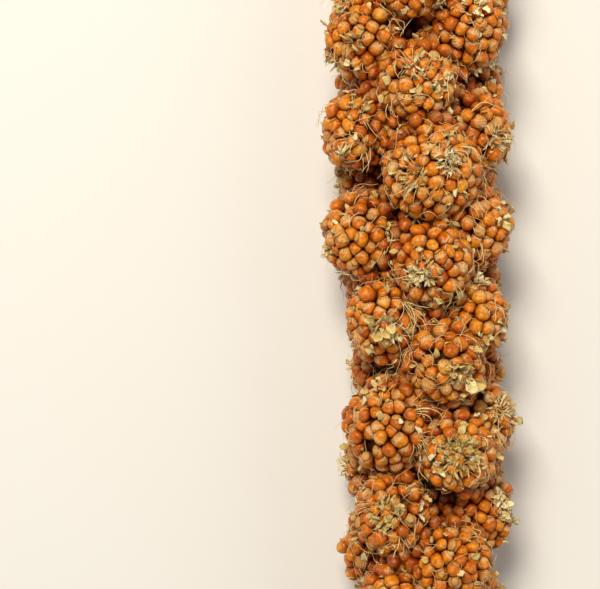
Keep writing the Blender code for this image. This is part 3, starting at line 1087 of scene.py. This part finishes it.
def huskPetals(spots, rng):
    # Every husk of these tufts, as arrays: the tuft's direction, the way it leans, how far its foot is from
    # the tuft's middle, its lean, length, half width, cup, curl, twist and tone.
    look = tuftLook
    made = []
    for direction, radius, kind, tone in spots:
        density, *ranges = huskKinds[kind]
        count = max(1, round(density * math.pi * radius**2))
        spot = np.repeat(direction[None], count, axis=0)
        toward = tangentsOf(spot, rng)
        away = look["footSpread"] * radius * np.sqrt(rng.random((count, 1)))
        length, widthShare, lean, cup, curl, twist = [rng.uniform(*ends, (count, 1)) for ends in ranges]
        eitherWay = rng.choice([-1.0, 1.0], (2, count, 1))
        tones = np.clip(tone + rng.uniform(-look["toneSpread"], look["toneSpread"], (count, 1)), 0.0, 1.0)
        shape = [lean, length, length * widthShare, cup, curl * eitherWay[0], twist * eitherWay[1], tones]
        made.append(np.hstack([spot, toward, away, *shape]))
    widths = (3, 3, *[1] * 7)
    return np.split(np.concatenate(made), np.cumsum(widths), axis=1)


def glumeParts(grains, materials, rng):
    # A glume of either kind round some of the grains.
    parts = []
    wearing = rng.random(len(grains["middles"])) < glumeLook["share"]
    kind = rng.integers(len(glumeShapes), size=len(wearing))
    for number, (shape, place) in enumerate(glumeShapes):
        chosen = wearing & (kind == number)
        count = int(chosen.sum())
        points = copiesOf(shape, grains["middles"][chosen], grains["axes"][chosen], grains["sizes"][chosen])
        points = pressed(points, grains, chosen, 0.0)
        points = aboveFloor(points, bodyLook["floorGap"])
        tone = np.repeat(rng.uniform(0.0, 1.0, count), len(shape))
        attributes = {"petalPlace": np.tile(place, (count, 1)), "petalTone": tone}
        triangles = repeatedTriangles(glumeTriangles, count, len(shape))
        parts.append((points.reshape(-1, 3), triangles, materials["glume"], attributes))
    return parts


def huskPart(body, materials, rng):
    # The tufts and the single husks, each leaning from the surface's normal, on a foot near its tuft.
    look = tuftLook
    columns = huskPetals(tuftSpots(body, rng), rng)
    spot, toward, away, lean, length, halfWidth, cup, curl, twist, tone = columns
    count = len(spot)
    turned = unit(toward + look["disorder"] * tangentsOf(spot, rng))
    normal = unit(spot + toward * away / body["radius"])
    forward = unit(normal * np.cos(lean) + turned * np.sin(lean))
    across = unit(np.cross(normal, forward))
    axes = np.stack([across, np.cross(forward, across), forward], axis=-1)
    height = surfaceRadius(body, normal)[:, None] + rng.uniform(*look["footHeight"], (count, 1))
    foot = body["centre"] + normal * height
    shapes = petalPoints(length, halfWidth, cup, curl, twist, rng.uniform(*phases, (count, 1)))
    points = copiesOf(shapes, foot, axes, np.ones((count, 3)))
    points = aboveFloor(points, bodyLook["floorGap"])
    triangles = repeatedTriangles(petalTriangles, count, len(petalPlace))
    tones = np.repeat(tone[:, 0], len(petalPlace))
    attributes = {"petalPlace": np.tile(petalPlace, (count, 1)), "petalTone": tones}
    return points.reshape(-1, 3), triangles, materials["husk"], attributes


def huskParts(body, grains, materials, rng):
    return [*glumeParts(grains, materials, rng), huskPart(body, materials, rng)]


# Bristles

bristleLook = {
    "clumpsPerSquareMetre": 86000.0,
    "perClump": 3,
    "rarerOnTop": 0.6,  # share of the clumps left out straight outwards
    "capAngle": math.radians(112.0),
    "jitter": 0.15,
    "steps": 9,
    "length": (0.0018, 0.0060),
    "radius": (0.000042, 0.000074),
    "tipShare": 0.45,
    "turn": 2.4,  # most that a bristle turns by along the surface, in radians
    "kink": 0.20,  # and how unevenly it turns, a step
    "clumpSpread": 0.7,  # how differently a clump's bristles head
    "root": -0.0006,  # height above the body's mean surface at the root
    "lying": (0.00035, 0.00100),  # and where it lies on the grains
    "standing": 0.0020,  # how much higher the tips of the few that stand out are
    "ripple": 0.00018,
    "pathFloor": 0.00015,
    "floorGap": 0.00005,
    "tipBias": 0.5,
    # Bundles on the clusters that face the camera: millimetres across and along from the cluster's middle
    # to their root, the way they head in degrees from +X towards +Y, how many bristles and how long
    "bundles": {
        13: [(-1.3, 1.3, 120, 6, 3.0), (-3.7, -2.4, -60, 4, 3.5)],
        18: [(-3.4, 3.4, -110, 3, 5.0), (-1.0, -1.6, -125, 4, 3.5), (1.0, -2.6, -105, 4, 2.6)],
        21: [(3.2, 2.8, -25, 5, 5.0), (-2.4, -1.4, -150, 8, 3.0), (-2.4, -0.6, 140, 5, 3.0)],
        23: [(3.6, 0.6, -112, 10, 5.5), (-1.9, 3.9, 15, 3, 4.5)],
        24: [(0.3, -2.4, -80, 4, 3.0), (-1.0, 3.4, -60, 4, 4.5)],
        26: [(-2.0, -1.4, -130, 7, 3.5), (2.6, -2.4, -40, 5, 3.0)],
        28: [(1.6, 3.2, -75, 5, 5.5), (3.4, 1.3, -118, 4, 5.0), (0.8, -0.8, -20, 4, 3.5)],
        29: [(1.8, 2.4, -70, 5, 3.5), (-2.6, 2.8, -110, 4, 4.0)],
        31: [(0.8, 4.2, -100, 6, 4.5), (-3.4, 1.6, -70, 4, 3.5)],
        34: [(1.4, -1.4, -70, 7, 4.0)],
        36: [(2.4, 2.7, 8, 7, 4.5), (3.6, -0.7, -60, 5, 3.5)],
        39: [(-2.4, 3.0, -100, 6, 4.0), (3.0, -0.7, -75, 6, 3.5)],
        41: [(-3.4, 1.6, -150, 5, 3.5), (0.7, -2.6, -80, 7, 3.5), (1.0, 3.0, 30, 4, 3.5)],
    },
    "bundleWidth": 0.0007,
    "bundleSpread": 0.60,
    "bundleLength": (0.55, 1.1),  # shares of its length
    "bundleHeight": 0.0006,  # above where the others lie
    "bundleStiffness": 0.6,  # share of the turning that a bundle's bristles lack
    "bundleThickness": 1.05,
    "bundleTone": 0.7,  # the least
}


def bristleRoots(body, rng):
    # Where the bristles leave the body, their headings, their lengths, and 1 for those in a placed bundle.
    # Clumps head differently all over the body, and a bundle is a few bristles side by side.
    look = bristleLook
    count = round(capArea(body, look["capAngle"]) * look["clumpsPerSquareMetre"])
    clumps = spreadDirections(body, count, look["capAngle"], rng, look["jitter"])
    onTop = np.maximum(clumps @ body["axes"][:, 2], 0.0) ** 2
    clumps = clumps[rng.random(len(clumps)) > look["rarerOnTop"] * onTop]
    normal = np.repeat(clumps, look["perClump"], axis=0)
    heading = np.repeat(tangentsOf(clumps, rng, look["tipBias"]), look["perClump"], axis=0)
    heading = heading + look["clumpSpread"] * tangentsOf(normal, rng)
    parts = [(normal, heading, rng.uniform(*look["length"], (len(normal), 1)), np.zeros((len(normal), 1)))]
    for across, along, degrees, count, longest in look["bundles"].get(body["number"], []):
        flat = np.array((across, along)) / 1000.0 + look["bundleWidth"] * rng.uniform(-1.0, 1.0, (count, 2))
        angle = math.radians(degrees) + look["bundleSpread"] * rng.uniform(-1.0, 1.0, count)
        heading = np.stack([np.cos(angle), np.sin(angle), np.zeros(count)], axis=1)
        length = longest / 1000.0 * rng.uniform(*look["bundleLength"], (count, 1))
        parts.append((directionAbove(body, flat, 0.05), heading, length, np.ones((count, 1))))
    normal, heading, length, bundled = (np.concatenate(arrays) for arrays in zip(*parts, strict=True))
    return normal, acrossFrom(heading, normal), length, bundled


def bristlePaths(body, rng):
    # Each bristle leaves the body, steps along its surface at a set height above it, and turns about the
    # surface's normal a little more at each step, with a few small kinks.
    look = bristleLook
    normal, heading, length, bundled = bristleRoots(body, rng)
    count = len(normal)
    steps = look["steps"]
    share = np.linspace(0.0, 1.0, steps)
    lying = rng.uniform(*look["lying"], (count, 1)) + look["bundleHeight"] * bundled
    standing = look["standing"] * rng.random((count, 1)) ** 4
    risen = np.minimum(3.0 * share, 1.0)
    height = look["root"] + (lying - look["root"]) * risen + standing * share**1.5
    height = height + look["ripple"] * np.sin(9.0 * share + rng.uniform(*phases, (count, 1))) * risen
    turn = look["turn"] * rng.uniform(-1.0, 1.0, (count, 1)) * share**2.0 / (share**2.0).sum()
    turn = (turn + look["kink"] * rng.normal(size=turn.shape)) * (1.0 - look["bundleStiffness"] * bundled)
    pace = length / (steps - 1)
    place = normal * (surfaceRadius(body, normal) + height[:, 0])[:, None]
    path = [place]
    for step in range(1, steps):
        angle = turn[:, step, None]
        heading = heading * np.cos(angle) + np.cross(normal, heading) * np.sin(angle)
        normal = unit(place + heading * pace)
        place = normal * (surfaceRadius(body, normal) + height[:, step])[:, None]
        heading = acrossFrom(heading, normal)
        path.append(place)
    return body["centre"] + np.stack(path, axis=1), bundled


def bristlePart(body, materials, rng):
    # A three-sided tube along each path, thinner at its tip.
    look = bristleLook
    path, bundled = bristlePaths(body, rng)
    count, steps = path.shape[:2]
    path[..., 2] = np.maximum(path[..., 2], look["pathFloor"])
    tangents = unit(np.gradient(path, axis=1) + 1e-9)
    across = unit(np.cross(tangents, path - body["centre"]))
    other = np.cross(tangents, across)
    angle = 2.0 * math.pi * np.arange(3) / 3.0
    share = np.linspace(0.0, 1.0, steps)
    radius = rng.uniform(*look["radius"], (count, 1)) * (1.0 - (1.0 - look["tipShare"]) * share)
    radius = radius * np.where(bundled > 0.5, look["bundleThickness"], 1.0)
    ring = across[:, :, None] * np.cos(angle)[:, None] + other[:, :, None] * np.sin(angle)[:, None]
    points = path[:, :, None] + ring * radius[..., None, None]
    points[..., 2] = np.maximum(points[..., 2], look["floorGap"])
    caps = np.array([[2, 1, 0], [0, 1, 2]]) + 3 * (steps - 1) * np.array([[0], [1]])
    triangles = np.concatenate([caps, tubeTriangles(steps, 3)])
    tone = np.maximum(rng.uniform(0.0, 1.0, count), look["bundleTone"] * bundled[:, 0])
    attributes = {
        "bristleAlong": np.tile(np.repeat(share, 3), count),
        "bristleTone": np.repeat(tone, 3 * steps),
    }
    triangles = repeatedTriangles(triangles, count, 3 * steps)
    return points.reshape(-1, 3), triangles, materials["bristle"], attributes


# Stalk

stalkLook = {
    "sides": 28,
    "rings": 160,
    "ridges": 9,
    "ridgeDepth": 0.035,
    "ridgeFade": 25.0,  # how fast the ridges come and go along the stalk
    "wallFrom": 0.0004,  # CAD vertices nearer the axis belong to the stalk's ends
    "pithShare": 0.72,  # of the cut end's radius
    "cutDepth": 0.00025,
}


def stalkPart(materials):
    # The CAD stalk's centre line and taper, with lengthwise ridges: radius x (1 + depth x sin(ridges x
    # angle) x a slow wave along it). The cut end is sunk in the middle, inside a ring of pith.
    look = stalkLook
    sides, rings = look["sides"], look["rings"]
    along = np.linspace(stalkPoints[:, 1].max(), stalkPoints[:, 1].min(), rings)
    axis = stalkAxis(along)
    away = np.linalg.norm(stalkPoints[:, (0, 2)] - stalkAxis(stalkPoints[:, 1])[:, (0, 2)], axis=1)
    wall = away > look["wallFrom"]
    taper = np.polyval(np.polyfit(stalkPoints[wall, 1], away[wall], 3), along)
    angle = 2.0 * math.pi * np.arange(sides) / sides
    wave = np.sin(look["ridges"] * angle)[None] * np.cos(look["ridgeFade"] * along + 1.0)[:, None]
    radius = taper[:, None] * (1.0 + look["ridgeDepth"] * wave)
    ring = np.stack([np.cos(angle), np.zeros_like(angle), np.sin(angle)], axis=1)
    tube = (axis[:, None] + ring[None] * radius[..., None]).reshape(-1, 3)
    ends = np.stack([axis[0] + (0.0, -look["cutDepth"], 0.0), axis[-1]])
    points = np.concatenate([tube, axis[0] + ring * (taper[0] * look["pithShare"]), ends])
    loop = np.arange(sides)
    following = (loop + 1) % sides
    last, inside = sides * (rings - 1), sides * rings
    cutEnd, tipEnd = np.full(sides, inside + sides), np.full(sides, inside + sides + 1)
    closing = (
        (loop, inside + following, following),
        (loop, inside + loop, inside + following),
        (inside + loop, cutEnd, inside + following),
        (last + loop, last + following, tipEnd),
    )
    triangles = [tubeTriangles(rings, sides), *(np.stack(corners, axis=1) for corners in closing)]
    pith = np.zeros(len(points))
    pith[inside : inside + sides + 1] = 1.0
    place = np.column_stack([points[:, 0], points[:, 2], points[:, 1]])
    return points, np.concatenate(triangles), materials["stalk"], {"pith": pith, "stalkPlace": place}


materials = {
    "grain": grainMaterial(grainPaint),
    "core": coreMaterial(corePaint),
    "husk": huskMaterial("husk", {**petalPaint, **huskPaint}),
    "glume": huskMaterial("glume", {**petalPaint, **glumePaint}),
    "bristle": bristleMaterial(bristlePaint),
    "stalk": stalkMaterial(stalkPaint),
}
print("materials made")

addCamera(cameraLook)
addLights(lightLook)
bpy.context.scene.view_settings.view_transform = "Standard"
addFloor(floorLook)
print("camera, lights and floor made")

seeds = {"clusters": 500, "between": 400}
triangleCount = 0
bodies = [readBody(name) for name in clusterNames]
for number, (name, body) in enumerate(zip(clusterNames, bodies, strict=True)):
    rng = np.random.default_rng(seeds["clusters"] + number)
    grains = placeGrains(body, rng)
    grainParts = [grainPart(grains, materials, rng), corePart(body, materials)]
    triangleCount += addPiece(name + "_grains", grainParts, name)
    triangleCount += addPiece(name + "_husks", huskParts(body, grains, materials, rng), None)
    triangleCount += addPiece(name + "_bristles", [bristlePart(body, materials, rng)], None)
print("clusters made:", len(clusterNames), "with", triangleCount, "triangles")

rng = np.random.default_rng(seeds["between"])
between = [
    grainPart(innerGrains(rng), materials, rng, coarseBall),
    grainPart(creviceGrains(bodies, rng), materials, rng),
]
triangleCount += addPiece("inner_grains", between, None)
triangleCount += addPiece("stalk_surface", [stalkPart(materials)], "stalk")
print("inner grains and stalk made,", triangleCount, "triangles in all")
